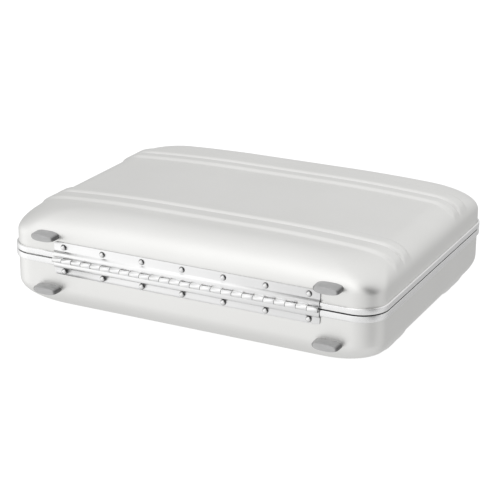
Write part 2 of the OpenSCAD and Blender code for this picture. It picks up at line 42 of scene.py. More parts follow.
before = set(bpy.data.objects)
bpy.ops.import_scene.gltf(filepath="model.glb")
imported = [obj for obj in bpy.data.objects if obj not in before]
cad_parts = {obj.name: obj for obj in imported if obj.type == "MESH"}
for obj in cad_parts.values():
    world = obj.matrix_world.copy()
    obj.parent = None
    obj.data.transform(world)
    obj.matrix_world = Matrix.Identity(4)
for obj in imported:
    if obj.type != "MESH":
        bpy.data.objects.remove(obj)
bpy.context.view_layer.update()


# ---------- dimensions, read from the frame or named here ----------

LID_LO, LID_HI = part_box("lid_shell")
BASE_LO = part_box("base_shell")[0]
LID_FRAME_LO, LID_FRAME_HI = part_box("lid_frame")
BASE_FRAME_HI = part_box("base_frame")[1]
W = LID_HI.x - LID_LO.x
D = LID_HI.y - LID_LO.y
SEAM = (LID_FRAME_LO.z + BASE_FRAME_HI.z) / 2
HALF_GAP = (LID_FRAME_LO.z - BASE_FRAME_HI.z) / 2
BAND_OUT = LID_FRAME_HI.x - LID_HI.x
UP = {"lid": 1, "base": -1}

# the shells' sheet; the rims' inner lip and how far it stands above the seam; the shells' edge
WALL = 1.6 * MM
LIP = 1.6 * MM
LIP_H = LID_FRAME_HI.z - SEAM
RIM_Z = LID_LO.z - SEAM
CORNER_R = 29.5 * MM
BAND_H = {"lid": 7.5 * MM, "base": 8 * MM}

# beads: height, widths of the inner and the outer one, place of their crease, flank widths
BEAD_H = 2.6 * MM
BEAD_IN_W = 22.5 * MM
BEAD_OUT_W = 26.5 * MM
BEAD_Y = 89.5 * MM
BEAD_CREASE = 6 * MM
BEAD_FOOT = 7.5 * MM
FLAT_H = {"lid": LID_HI.z - BEAD_H - SEAM, "base": SEAM - BASE_LO.z - BEAD_H}

# edge rounding: size along x, size along y, height, growth of the corner radius
ROUND = {"lid": (32 * MM, 43 * MM, 33 * MM, 0.8), "base": (41 * MM, 41 * MM, 31.5 * MM, 0.95)}
# the lid's top falls gently towards both ends: where that starts, and how far it falls
CROWN_FROM = 60 * MM
CROWN_DROP = {"lid": 7 * MM, "base": 0.0}

PIN_LO, PIN_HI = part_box("hinge_pin")
BARREL_Y = (PIN_LO.y + PIN_HI.y) / 2
LEAF_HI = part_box("lid_hinge_leaf")[1]
HINGE_LEN = 2 * LEAF_HI.x
LEAF_T = 1.2 * MM
KNUCKLES = 26

LINING_IN = 3.4 * MM
LINING_T = 1.5 * MM


# ---------- mesh helpers ----------

def add_object(name, data):
    obj = bpy.data.objects.new(name, data)
    bpy.context.scene.collection.objects.link(obj)
    return obj


def new_piece(name, verts, faces, body, slot, material, sharp=None):
    """A visible piece made of verts and faces that moves with a body."""
    mesh = bpy.data.meshes.new(name)
    mesh.from_pydata([tuple(v) for v in verts], [], faces)
    mesh.validate()
    obj = add_object(name, mesh)
    bm = bmesh.new()
    bm.from_mesh(mesh)
    bmesh.ops.recalc_face_normals(bm, faces=bm.faces)
    bm.to_mesh(mesh)
    bm.free()
    smooth(obj, sharp)
    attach(obj, body)
    mesh.materials.append(material)
    return obj


def smooth(obj, sharp=None):
    """Smooth shading that breaks at edges sharper than this many degrees."""
    obj.data.polygons.foreach_set("use_smooth", [True] * len(obj.data.polygons))
    if sharp is None:
        return
    bm = bmesh.new()
    bm.from_mesh(obj.data)
    limit = math.radians(sharp)
    for e in bm.edges:
        e.smooth = not (len(e.link_faces) == 2 and e.calc_face_angle(0) > limit)
    bm.to_mesh(obj.data)
    bm.free()


def apply_modifiers(obj):
    dg = bpy.context.evaluated_depsgraph_get()
    mesh = bpy.data.meshes.new_from_object(obj.evaluated_get(dg), depsgraph=dg)
    obj.modifiers.clear()
    old = obj.data
    obj.data = mesh
    bpy.data.meshes.remove(old)


def thicken(obj, thickness, offset, edge_material=None):
    """Gives a sheet its thickness; its cut edges can have a material of their own."""
    m = obj.modifiers.new("thickness", "SOLIDIFY")
    m.thickness = thickness
    m.offset = offset
    if edge_material is not None:
        obj.data.materials.append(edge_material)
        m.material_offset_rim = 1
    apply_modifiers(obj)


def bevel(obj, width, segments, angle):
    m = obj.modifiers.new("edges", "BEVEL")
    m.width = width
    m.segments = segments
    m.limit_method = "ANGLE"
    m.angle_limit = math.radians(angle)
    m.use_clamp_overlap = False
    m.harden_normals = True


def smoothstep(x):
    x = min(max(x, 0.0), 1.0)
    return x * x * (3 - 2 * x)


def arc(cx, cy, r, a0, a1, n):
    return [(cx + r * math.cos(a), cy + r * math.sin(a))
            for a in np.radians(np.linspace(a0, a1, n + 1))]


def rounded_rectangle(cx, cy, half_w, half_d, r, steps):
    """(x, y, angle of the outward normal) round a rectangle with corners of radius r."""
    out = []
    for c in range(4):
        sx, sy = (1 if c in (0, 3) else -1), (1 if c < 2 else -1)
        for a in np.radians(np.linspace(90 * c, 90 * c + 90, steps)):
            out.append((cx + sx * (half_w - r) + r * math.cos(a),
                        cy + sy * (half_d - r) + r * math.sin(a), a))
    return out


def ring_faces(rings, n, looped=False):
    """Quads between rings of n points each; looped joins the last ring to the first."""
    faces = []
    for k in range(rings if looped else rings - 1):
        a, b = k * n, (k + 1) % rings * n
        faces += [(a + i, a + (i + 1) % n, b + (i + 1) % n, b + i) for i in range(n)]
    return faces


def tube_faces(rings, n):
    """Quads between rings of n points each, closed at both ends by a flat face."""
    ends = [tuple(range((rings - 1) * n, rings * n)), tuple(range(n - 1, -1, -1))]
    return ring_faces(rings, n) + ends


def grid_faces(rows, n):
    """Quads between open rows of n points each."""
    return [(r * n + i, r * n + i + 1, (r + 1) * n + i + 1, (r + 1) * n + i)
            for r in range(rows - 1) for i in range(n - 1)]


def rim_sweep(name, section, body, slot, material):
    """Closed (u, z) section swept round the shells at the seam."""
    loop = rounded_rectangle(0, 0, W / 2, D / 2, CORNER_R, 15)
    verts = [(x + u * math.cos(a), y + u * math.sin(a), SEAM + UP[body] * z)
             for x, y, a in loop for u, z in section]
    faces = ring_faces(len(loop), len(section), looped=True)
    return new_piece(name, verts, faces, body, slot, material, 40)


def joined(*shapes):
    verts, faces = [], []
    for v, f in shapes:
        base = len(verts)
        verts += v
        faces += [tuple(base + i for i in face) for face in f]
    return verts, faces


def lathe(profile, segments=28):
    """(radius, height) profile turned about Z, from the axis out and back to it."""
    verts, faces, rings = [], [], []
    for r, z in profile:
        if r < 1e-9:
            rings.append([len(verts)])
            verts.append((0, 0, z))
        else:
            rings.append(list(range(len(verts), len(verts) + segments)))
            verts += [(r * math.cos(2 * math.pi * i / segments),
                       r * math.sin(2 * math.pi * i / segments), z) for i in range(segments)]
    for a, b in zip(rings, rings[1:]):
        for i in range(segments):
            j = (i + 1) % segments
            quad = (a[i % len(a)], a[j % len(a)], b[j % len(b)], b[i % len(b)])
            quad = tuple(v for k, v in enumerate(quad) if v not in quad[:k])
            if len(quad) > 2:
                faces.append(quad)
    return verts, faces


def solid_boxes(node):
    """Lowest and highest corner of every separate solid in a CAD node, sorted along X."""
    bm = bmesh.new()
    bm.from_mesh(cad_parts[node].data)
    bmesh.ops.remove_doubles(bm, verts=bm.verts, dist=1e-6)
    seen, out = set(), []
    for v in bm.verts:
        if v in seen:
            continue
        stack, group = [v], []
        seen.add(v)
        while stack:
            q = stack.pop()
            group.append(q.co)
            for e in q.link_edges:
                o = e.other_vert(q)
                if o not in seen:
                    seen.add(o)
                    stack.append(o)
        out.append((Vector([min(c[i] for c in group) for i in range(3)]),
                    Vector([max(c[i] for c in group) for i in range(3)])))
    bm.free()
    return sorted(out, key=lambda b: (round(b[0].x, 5), b[0].y, b[0].z))


# ---------- shells ----------

# the top's lengthwise rows end at this y; points along each row and round each long side
ROW_LIMIT = 118 * MM
SIDE_SEGS = 140


def bead_height(y):
    """Height of the pressed beads at y: two flat-crested beads that meet in a sharp crease."""
    v = abs(y) - BEAD_Y
    width = BEAD_OUT_W if v > 0 else BEAD_IN_W
    v = abs(v)
    if v >= width:
        return 0.0
    rise = math.sin(math.pi / 2 * min(v / BEAD_CREASE, 1))
    fall = smoothstep((width - v) / BEAD_FOOT)
    return BEAD_H * rise * fall


def row_positions():
    """The y of every lengthwise row of the top: fine over the beads, coarse between them."""
    fine0, fine1 = BEAD_Y - BEAD_IN_W - 2 * MM, ROW_LIMIT
    coarse = np.linspace(0, fine0, 10)
    inner = np.linspace(fine0, BEAD_Y, 27)
    outer = np.linspace(BEAD_Y, fine1, 30)
    ys = list(coarse) + list(inner[1:]) + list(outer[1:])
    return [-y for y in reversed(ys[1:])] + ys


def end_x(half_w, half_d, r, y):
    """x of a ring's +X end at y."""
    v = max(abs(y) - (half_d - r), 0.0)
    return half_w - r + math.sqrt(max(r * r - v * v, 0.0))


def side_points(half_w, half_d, r):
    """From the +X end at ROW_LIMIT round the +Y side to the -X end, evenly spaced."""
    cx, cy = half_w - r, half_d - r
    path, a0 = [], 0.0
    if ROW_LIMIT < cy:
        path.append((half_w, ROW_LIMIT))
    else:
        a0 = math.asin((ROW_LIMIT - cy) / r)
    path += [(cx + r * math.cos(a), cy + r * math.sin(a))
             for a in np.linspace(a0, math.pi / 2, 40)]
    path += [(-x, y) for x, y in reversed(path)]
    p = np.array(path)
    s = np.r_[0, np.cumsum(np.hypot(*np.diff(p, axis=0).T))]
    t = np.linspace(0, s[-1], SIDE_SEGS + 1)
    return list(zip(np.interp(t, s, p[:, 0]), np.interp(t, s, p[:, 1])))


def dish(kind, inset, low_z, beaded):
    """One sheet: wall from low_z, elliptical edge rounding and top, inset from the shell's skin."""
    up = UP[kind]
    rx, ry, rz, growth = ROUND[kind]
    flat_h = FLAT_H[kind] - inset
    rx, ry, rz = rx - inset, ry - inset, rz - inset
    bend = flat_h - rz
    ys = row_positions()
    # the beads rise between these two angles of the edge rounding
    fade_lo, fade_hi = math.radians(20), math.radians(52)

    def crowned(x, y, z):
        share = max(z - bend, 0) / rz
        run = max(abs(x) - CROWN_FROM, 0) / (W / 2 - CROWN_FROM)
        return (x, y, SEAM + up * (z - CROWN_DROP[kind] * share * run * run))

    def ring(a, z):
        """Outline at angle a of the edge rounding, from the +X end round by the +Y side."""
        run = 1 - math.cos(a)
        half_w, half_d = W / 2 - inset - rx * run, D / 2 - inset - ry * run
        r = CORNER_R - inset + growth * (rx + ry) / 2 * run
        fade = smoothstep((a - fade_lo) / (fade_hi - fade_lo)) if beaded else 0.0
        size = math.hypot(rz * math.cos(a), rx * math.sin(a))
        lean, lift = math.cos(a) * rz / size, math.sin(a) * rx / size
        out = []
        for sgn in (1, -1):
            side = side_points(half_w, half_d, r)
            if sgn < 0:
                side = [(-x, -y) for x, y in side]
            for y in (ys if sgn > 0 else reversed(ys)):
                b = bead_height(y) * fade
                x = sgn * (end_x(half_w, half_d, r, y) + b * lean)
                out.append(crowned(x, y, z + b * lift))
            out += [crowned(x, y, z) for x, y in side[1:-1]]
        return out

    levels = [(0.0, z) for z in np.linspace(low_z, bend, 5)]
    levels += [(a, flat_h - rz * (1 - math.sin(a))) for a in np.linspace(0, math.pi / 2, 23)[1:]]
    rings = [ring(*lv) for lv in levels]
    n = len(rings[0])
    verts = [p for rg in rings for p in rg]
    faces = ring_faces(len(rings), n)

    # rows of the top join the two ends of the last ring
    last = (len(rings) - 1) * n
    m = len(ys)
    grid = []
    for i, y in enumerate(ys):
        a, b = last + i, last + m + (SIDE_SEGS - 1) + (m - 1 - i)
        row = [a]
        for c in range(1, SIDE_SEGS):
            x = verts[a][0] + (verts[b][0] - verts[a][0]) * c / SIDE_SEGS
            row.append(len(verts))
            verts.append(crowned(x, y, flat_h + (bead_height(y) if beaded else 0.0)))
        grid.append(row + [b])

    # a few more rows join the outermost ones to the ring's long sides
    strips = [grid]
    for sgn in (1, -1):
        inner = grid[-1] if sgn > 0 else grid[0]
        first = last + m if sgn > 0 else last + 2 * m + SIDE_SEGS - 1
        outer = list(range(first, first + SIDE_SEGS - 1))
        outer = [inner[0]] + (outer if sgn > 0 else outer[::-1]) + [inner[-1]]
        strip = [inner]
        for share in (0.34, 0.67):
            row = [inner[0]]
            for c in range(1, SIDE_SEGS):
                p, q = np.array(verts[inner[c]]), np.array(verts[outer[c]])
                row.append(len(verts))
                verts.append(tuple(p + (q - p) * share))
            strip.append(row + [inner[-1]])
        strips.append(strip + [outer])
    for strip in strips:
        for lower, upper in zip(strip, strip[1:]):
            for c in range(SIDE_SEGS):
                quad = [lower[c], lower[c + 1], upper[c + 1], upper[c]]
                quad = [v for i, v in enumerate(quad) if v not in quad[:i]]
                if len(quad) > 2:
                    faces.append(tuple(quad))
    return verts, faces


def make_shell(kind, material):
    """Drawn shell with beads, as a sheet of even thickness."""
    verts, faces = dish(kind, 0.0, RIM_Z, True)
    obj = new_piece(kind + "_shell_skin", verts, faces, kind, "shell", material)
    thicken(obj, WALL, -1)
    smooth(obj, 30)
    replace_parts(obj, kind + "_shell")


def make_lining(kind, material):
    """Lining that follows the shell's inside at a small distance, without the beads."""
    verts, faces = dish(kind, LINING_IN, 1 * MM, False)
    obj = new_piece(kind + "_lining_skin", verts, faces, kind, "lining", material)
    thicken(obj, LINING_T, -1)
    smooth(obj, 40)
    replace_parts(obj, kind + "_lining")


# ---------- rim ----------

def make_band(kind, material):
    """Extruded rim: a proud band with rounded edges, and the channel behind it."""
    h, r, chamfer, clear = BAND_H[kind], 1.0 * MM, 0.5 * MM, 0.02 * MM
    # half of the groove at the seam: its height, its floor and its rounded edge
    seam = 0.65 * MM if kind == "lid" else 0.50 * MM
    floor, seam_r = BAND_OUT - 2.2 * MM, 0.5 * MM
    section = [(-WALL - LIP, HALF_GAP), (floor, HALF_GAP), (floor, HALF_GAP + seam)]
    section += arc(BAND_OUT - seam_r, HALF_GAP + seam + seam_r, seam_r, -90, 0, 4)
    section += arc(BAND_OUT - r, h - r, r, 0, 90, 5)
    section += [(chamfer, h), (clear, h - chamfer * 1.4), (clear, RIM_Z), (-WALL, RIM_Z)]
    section += [(-WALL, LIP_H), (-WALL - LIP, LIP_H)]
    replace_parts(rim_sweep(kind + "_rim_band", section, kind, "frame", material), kind + "_frame")


def make_gasket(material):
    """Rubber strip in the lid rim's groove, with a round bulb that meets the base's rim."""
    lo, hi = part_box("rim_gasket")
    out = hi.x - W / 2
    width = 1.6 * MM
    top, low = hi.z - SEAM, lo.z - SEAM
    bulb = width / 2
    section = [(out - width, top), (out, top)]
    section += arc(out - bulb, low + bulb, bulb, 0, -180, 8)
    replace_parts(rim_sweep("rim_gasket_strip", section, "lid", "gasket", material), "rim_gasket")


def make_seam_shade_strip(material):
    """Thin black strip in the groove between the bands, hung from the lid's band: painted shade
    that darkens the seam.
    """
    out, width, low, top = BAND_OUT - 1.5 * MM, 0.6 * MM, -0.6 * MM, 0.75 * MM
    thinned_by, run = 0.65, 60 * MM
    section = [(out - width, top), (out, top), (out, low), (out - width, low)]
    shade_strip = rim_sweep("seam_shade_strip", section, "lid", "gasket", material)
    for v in shade_strip.data.vertices:  # it is thinner round the hinge corner on the +X side, so the painted shade is fainter there
        share = smoothstep(v.co.x / run) * smoothstep(v.co.y / run)
        v.co.z = SEAM + (v.co.z - SEAM) * (1 - thinned_by * share)


# ---------- piano hinge ----------

def leaf_path(kind, wrap):
    """Middle line of the leaf's sheet as (y, z): down the shell, over the band, round the pin."""
    h = BAND_H[kind]
    leaf_lo, leaf_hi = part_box(kind + "_hinge_leaf")
    top = leaf_hi.z - SEAM if kind == "lid" else SEAM - leaf_lo.z
    y0, y1 = D / 2 + LEAF_T / 2, D / 2 + BAND_OUT + LEAF_T / 2
    r = BARREL_Y - y1
    # flat on the shell, a soft step out over the band's edge, flat down to the barrel
    pts = [(y0, top), (y0, h + 2.6 * MM), (y0 + 0.15 * MM, h + 2.1 * MM)]
    pts += [(y1 - 0.25 * MM, h + 0.75 * MM), (y1, h + 0.1 * MM), (y1, r + 0.55 * MM)]
    if wrap:  # the roll stops short of closing on itself
        pts += [(BARREL_Y - r * math.cos(a), -r * math.sin(a))
                for a in np.radians(np.linspace(0, 318, 31))]
    return pts


def make_leaf(kind, material, edge_material):
    """The leaf as bent sheet: a plate, and a tongue rolled round the pin at every second place."""
    up, step, gap, corner = UP[kind], HINGE_LEN / KNUCKLES, 0.35 * MM, 3.5 * MM
    verts, faces = [], []

    def sheet(x0, x1, path, round_end=0.0):
        """A ruled sheet along path; its first edge can have rounded corners."""
        p = [Vector((0, y, SEAM + up * z)) for y, z in path]
        cuts = [0.0] * len(p)
        if round_end:
            angles = np.radians(np.linspace(0, 90, 7))
            start = [p[0] + (p[1] - p[0]).normalized() * (round_end * (1 - math.cos(a)))
                     for a in angles]
            cuts = [round_end * (1 - math.sin(a)) for a in angles] + cuts[1:]
            p = start + p[1:]
        base = len(verts)
        for q, cut in zip(p, cuts):
            verts.extend([(x0 + cut, q.y, q.z), (x1 - cut, q.y, q.z)])
        faces.extend((base + 2 * i, base + 2 * i + 1, base + 2 * i + 3, base + 2 * i + 2)
                     for i in range(len(p) - 1))

    sheet(-HINGE_LEN / 2, HINGE_LEN / 2, leaf_path(kind, False), corner)
    plate = new_piece(kind + "_leaf_plate", verts, faces, kind, "hinge", material)
    verts, faces = [], []
    tail = leaf_path(kind, True)[5:]  # from the plate's edge on
    for i in range(0 if kind == "lid" else 1, KNUCKLES, 2):
        mid = HINGE_LEN / 2 - (i + 0.5) * step
        sheet(mid - step / 2 + gap / 2, mid + step / 2 - gap / 2, tail)
    rolls = new_piece(kind + "_leaf_knuckles", verts, faces, kind, "hinge", material)
    for obj in (plate, rolls):
        thicken(obj, LEAF_T, 0, edge_material)
        bevel(obj, 0.15 * MM, 2, 60)
        apply_modifiers(obj)
        smooth(obj, 60)
    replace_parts(plate, kind + "_hinge_leaf")


# ---------- rivets ----------

TAIL_R, TAIL_H = 2.4 * MM, 0.8 * MM


def rivet_shape(head_r, head_h, shank_r, seat):
    """Domed head with a small flange edge, shank, and tail flattened against the inside."""
    edge, undercut, clear = 0.25 * MM, 0.35 * MM, 0.02 * MM
    dome = [(head_r * math.sin(a), seat + edge + (head_h - edge) * math.cos(a))
            for a in np.radians(np.linspace(0, 90, 12))]
    shank = [(head_r - undercut, seat + clear), (shank_r, seat + clear), (shank_r, -WALL)]
    tail = [(TAIL_R, -WALL - 0.1 * MM), (TAIL_R * 0.9, -WALL - TAIL_H), (0, -WALL - TAIL_H)]
    return lathe([(0, seat + head_h)] + dome[1:] + shank + tail)


def make_rivets(node, body, head, seat, side, material):
    """One rivet for each of the node's solids; side is +1 on the hinge wall, -1 on the front."""
    verts, faces = rivet_shape(*head, seat)
    copies = []
    for lo, hi in solid_boxes(node):
        x, z = (lo.x + hi.x) / 2, (lo.z + hi.z) / 2
        copies.append(([(x + a, side * (D / 2 + c), z + b) for a, b, c in verts], faces))
    obj = new_piece(node + "_domed", *joined(*copies), body, "rivet", material, 60)
    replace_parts(obj, node)


# ---------- feet ----------

def make_feet(kind, material):
    """Moulded block feet: long rounded outline, flat face, bevelled edges."""
    up = UP[kind]
    _, ry, rz, _ = ROUND[kind]
    bend = FLAT_H[kind] - rz
    n, power = 72, 2.8
    # share of the height from the wall; insets of the ends and of the long sides in mm
    levels = [(0.0, 0.0, 0.0), (0.4, 0.1, 0.05), (0.70, 0.35, 0.2), (0.78, 0.6, 0.35),
              (0.86, 1.1, 0.6), (0.94, 2.0, 0.85), (0.985, 2.7, 1.05), (1.0, 3.3, 1.4),
              (1.004, 5.0, 2.4)]
    shapes = []
    for lo, hi in solid_boxes(kind + "_feet"):
        cx, cz = (lo.x + hi.x) / 2, (lo.z + hi.z) / 2
        half_w, half_h, out = (hi.x - lo.x) / 2, (hi.z - lo.z) / 2, hi.y - D / 2
        verts = []
        for share, end_in, side_in in levels:
            w, h = half_w - end_in * MM, half_h - side_in * MM
            for a in np.linspace(0, 2 * math.pi, n, endpoint=False):
                c, s = math.cos(a), math.sin(a)
                k = (abs(c) ** power + abs(s) ** power) ** (-1 / power)
                x, z = cx + k * c * w, cz + k * s * h
                rise = max(up * (z - SEAM) - bend, 0.0)
                back = ry * (math.sqrt(max(0.0, 1 - (rise / rz) ** 2)) - 1)
                verts.append((x, D / 2 + back + (out - back) * share, z))
        shapes.append((verts, tube_faces(len(levels), n)))
    obj = new_piece(kind + "_feet_moulded", *joined(*shapes), kind, "foot", material, 40)
    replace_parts(obj, kind + "_feet")


# ---------- front fittings ----------

def make_grip(material):
    """Moulded grip: oval section, finger hollows along its inner side, fine ribs, plain ends."""
    lo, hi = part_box("handle_grip")
    cy, cz = (lo.y + hi.y) / 2, (lo.z + hi.z) / 2
    half, thick, tall = (hi.x - lo.x) / 2, (hi.y - lo.y) / 2, (hi.z - lo.z) / 2 + 2.2 * MM
    rib, rib_depth, finger, finger_depth = 3.2 * MM, 0.45 * MM, half / 2, 1.3 * MM
    end_run, plain_end, power = 5 * MM, 12 * MM, 2.4
    xs = np.arange(-half + 0.2 * MM, half - 0.1 * MM, 0.4 * MM)
    n, verts = 36, []
    for x in xs:
        end = (half - abs(x)) / end_run
        swell = math.sqrt(max(0.0, 1 - (1 - min(end, 1)) ** 2)) * 0.22 + 0.78
        ribbed = smoothstep((half - plain_end - abs(x)) / (4 * MM))
        groove = rib_depth * ribbed * max(0.0, math.cos(2 * math.pi * x / rib)) ** 6
        hollow = finger_depth * ribbed * (0.5 - 0.5 * math.cos(2 * math.pi * x / finger))
        for a in np.linspace(0, 2 * math.pi, n, endpoint=False):
            c, s = math.cos(a), math.sin(a)
            k = (abs(c) ** power + abs(s) ** power) ** (-1 / power)
            inner = max(0.0, -s) ** 1.5
            y = cy + (thick * swell - groove) * k * c
            z = cz + (tall * swell - groove - hollow * inner) * k * s
            verts.append((x, y, z))
    obj = new_piece("handle_grip_moulded", verts, tube_faces(len(xs), n), "handle", "grip",
                    material, 50)
    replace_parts(obj, "handle_grip")


def make_arms(material):
    """Cast bow: two tapered arms with round eyes, and the rod that carries the grip."""
    arm_lo, arm_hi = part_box("handle_arms")
    pin_lo, pin_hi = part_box("handle_pins")
    grip_lo, grip_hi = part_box("handle_grip")
    eye = Vector((0, (grip_lo.y + grip_hi.y) / 2, (pin_lo.z + pin_hi.z) / 2))
    elbow_z = (grip_lo.z + grip_hi.z) / 2
    hole_r, eye_r, end_r, rod_r, rod_sides = 2.55 * MM, 5 * MM, 6.3 * MM, 3.5 * MM, 24
    inner_x, outer_x = grip_hi.x, arm_hi.x
    # half outline: from the eye's top round to the elbow's foot, then mirrored
    drop = eye.z - elbow_z
    flare = math.degrees(math.asin((end_r - eye_r) / drop))
    eye_arc, end_arc = arc(0, 0, eye_r, 90, -flare, 14), arc(0, -drop, end_r, -flare, -90, 12)
    (y0, z0), (y1, z1) = eye_arc[-1], end_arc[0]
    flank = [(y0 + (y1 - y0) * t, z0 + (z1 - z0) * t)
             for t in (0.03, 0.07, 0.12, 0.18, 0.26, 0.38, 0.55, 0.75)]
    half = eye_arc + flank + end_arc
    outline = half + [(-y, z) for y, z in reversed(half[1:-1])]
    n = len(outline)
    verts, faces = [], []
    for sgn in (-1, 1):
        base = len(verts)
        for x in (sgn * inner_x, sgn * outer_x):
            verts += [(x, eye.y + y, eye.z + z) for y, z in outline]
            for y, z in outline:
                k = hole_r / math.hypot(y, z)
                verts.append((x, eye.y + y * k, eye.z + z * k))
        for i in range(n):
            j = (i + 1) % n
            a, b, c, d = base, base + n, base + 2 * n, base + 3 * n
            faces += [(a + i, a + j, c + j, c + i), (b + i, d + i, d + j, b + j),
                      (a + i, b + i, b + j, a + j), (c + i, c + j, d + j, d + i)]
    rod = [(inner_x * t, eye.y + rod_r * math.cos(a), elbow_z + rod_r * math.sin(a))
           for t in (-1, 1) for a in np.linspace(0, 2 * math.pi, rod_sides, endpoint=False)]
    verts, faces = joined((verts, faces), (rod, tube_faces(2, rod_sides)))
    obj = new_piece("handle_bow", verts, faces, "handle", "fitting", material)
    bevel(obj, 1.1 * MM, 3, 60)
    apply_modifiers(obj)
    smooth(obj, 55)
    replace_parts(obj, "handle_arms")


def make_button(side, material):
    """Thumb slide: ribbed cap, its stem and the plate that runs behind the latch's face."""
    node = side + "_latch_button"
    lo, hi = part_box(node)
    # q is the distance out of the front wall
    front, back = -lo.y - D / 2, -hi.y - D / 2
    cap_w, stem_w, stem_h, plate_q, cap_q = 10 * MM, 6 * MM, 4 * MM, 3.2 * MM, 5.12 * MM
    cz, half_h = (lo.z + hi.z) / 2, (hi.z - lo.z) / 2
    outer = hi.x if side == "right" else lo.x
    sgn = 1 if side == "right" else -1
    cap_x = outer - sgn * cap_w / 2
    ribs, rib_depth, top = 5, 0.7 * MM, []
    for x in np.linspace(-cap_w / 2, cap_w / 2, 61):
        t = (x + cap_w / 2) / cap_w * ribs
        edge = smoothstep((cap_w / 2 - abs(x)) / (0.9 * MM))
        valley = (1 - abs(math.sin(math.pi * t))) ** 1.5
        crest = cap_q + (front - cap_q) * (0.45 + 0.55 * edge)
        top.append((x, crest - rib_depth * edge * valley))
    cap_verts = []
    # heights of the cap's rows, and how far each stands out towards the ribbed top
    zs = [(-half_h, 0.0), (-half_h, 0.75), (-half_h + 0.3 * MM, 0.93), (-half_h + 0.8 * MM, 1.0),
          (half_h - 0.8 * MM, 1.0), (half_h - 0.3 * MM, 0.93), (half_h, 0.75), (half_h, 0.0)]
    for z, share in zs:
        cap_verts += [(cap_x + x, -D / 2 - (cap_q + (q - cap_q) * share), cz + z) for x, q in top]
    k, last = len(top), (len(zs) - 1) * len(top)
    sides = [tuple(range(0, last + 1, k)), tuple(range(last + k - 1, 0, -k))]
    back_face = tuple(list(range(last, last + k)) + list(range(k - 1, -1, -1)))
    cap_faces = grid_faces(len(zs), k) + sides + [back_face]

    def block(half_w, half_z, q0, q1, x):
        verts = [(x + a, -D / 2 - q, cz + b) for q in (q0, q1) for a, b in
                 ((-half_w, -half_z), (half_w, -half_z), (half_w, half_z), (-half_w, half_z))]
        return verts, tube_faces(2, 4)

    stem = block(stem_w / 2, stem_h / 2, plate_q - 0.2 * MM, cap_q + 0.1 * MM, cap_x)
    plate = block(cap_w / 2, half_h, back, plate_q, cap_x - sgn * 1 * MM)
    obj = new_piece(node + "_ribbed", *joined((cap_verts, cap_faces), stem, plate),
                    side + "_button", "fitting", material, 35)
    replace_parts(obj, node)


# the hasp's pin, out of the front wall and from the seam; its angle at rest; its sheet
HASP_PIVOT = (6 * MM, -28 * MM)
HASP_OPEN = math.radians(6)
HASP_T = 1.3 * MM


def make_hasp(side, material):
    """Pressed hasp: rolled barrel, panel with a raised field, end bent in over the keeper."""
    node = side + "_hasp"
    lo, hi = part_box(node)
    cx, half = (lo.x + hi.x) / 2, (hi.x - lo.x) / 2
    roll, roll_steps, top, bend_r, end_narrowing = 2.31 * MM, 20, 39 * MM, 1.6 * MM, 0.16
    field_z, field_half_h, field_share, field_rise = 20 * MM, 13.5 * MM, 0.68, 0.75 * MM
    # path from the roll's end, round the pin, up and in; (q, z) from the pivot
    path = arc(0, 0, roll, -250, 0, roll_steps)
    path += [(roll, z) for z in np.linspace(2 * MM, top - 2 * MM, 30)]
    path += arc(roll - bend_r, top - bend_r, bend_r, 10, 90, 5)
    path += [(0.6 * MM, top), (-0.9 * MM, top)]
    cols = 34

    def raised(x, z):
        run = min(half * field_share - abs(x), field_half_h - abs(z - field_z)) / (1.4 * MM)
        return field_rise * smoothstep(run)

    verts = []
    cos, sin = math.cos(HASP_OPEN), math.sin(HASP_OPEN)
    for i, (q, z) in enumerate(path):
        narrowed = smoothstep((z - 30 * MM) / (8 * MM)) if q > -2 * MM else 1.0
        half_here = half * (1.0 - end_narrowing * narrowed)
        for c in range(cols + 1):
            x = -half_here + 2 * half_here * c / cols
            a = q + (raised(x, z) if i > roll_steps else 0.0)
            out = a * cos + z * sin + HASP_PIVOT[0]
            up = z * cos - a * sin + HASP_PIVOT[1]
            verts.append((cx + x, -D / 2 - out, SEAM + up))
    faces = grid_faces(len(path), cols + 1)
    obj = new_piece(node + "_pressed", verts, faces, side + "_hasp", "hinge", material)
    thicken(obj, HASP_T, 0)
    bevel(obj, 0.3 * MM, 2, 60)
    apply_modifiers(obj)
    smooth(obj, 60)
    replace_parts(obj, node)


def dress(node, material, edge):
    """A CAD node that stays gets its material and small broken edges."""
    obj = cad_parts[node]
    obj.data.materials.clear()
    obj.data.materials.append(material)
    weld = obj.modifiers.new("weld", "WELD")
    weld.merge_threshold = 0.001 * MM
    flat = obj.modifiers.new("flat_faces", "DECIMATE")
    flat.decimate_type = "DISSOLVE"
    flat.angle_limit = math.radians(0.5)
    if edge:
        bevel(obj, edge, 2, 40)


# ---------- soft interior ----------

SIM_FRAMES = 20
PRESSURE = 4.0
soft_pieces = []  # (object, lowest and highest corner of its box, how far it may swell)


def rounded_block(lo, hi, radius):
    """Box whose edges are all rounded."""
    bm = bmesh.new()
    corners = [bm.verts.new((x, y, z)) for z in (lo.z, hi.z) for x, y in
               ((lo.x, lo.y), (hi.x, lo.y), (hi.x, hi.y), (lo.x, hi.y))]
    for f in ((3, 2, 1, 0), (4, 5, 6, 7), (0, 1, 5, 4), (1, 2, 6, 5), (2, 3, 7, 6), (3, 0, 4, 7)):
        bm.faces.new([corners[i] for i in f])
    bmesh.ops.bevel(bm, geom=bm.edges[:], offset=radius, segments=3, profile=0.5, affect="EDGES")
    return bm


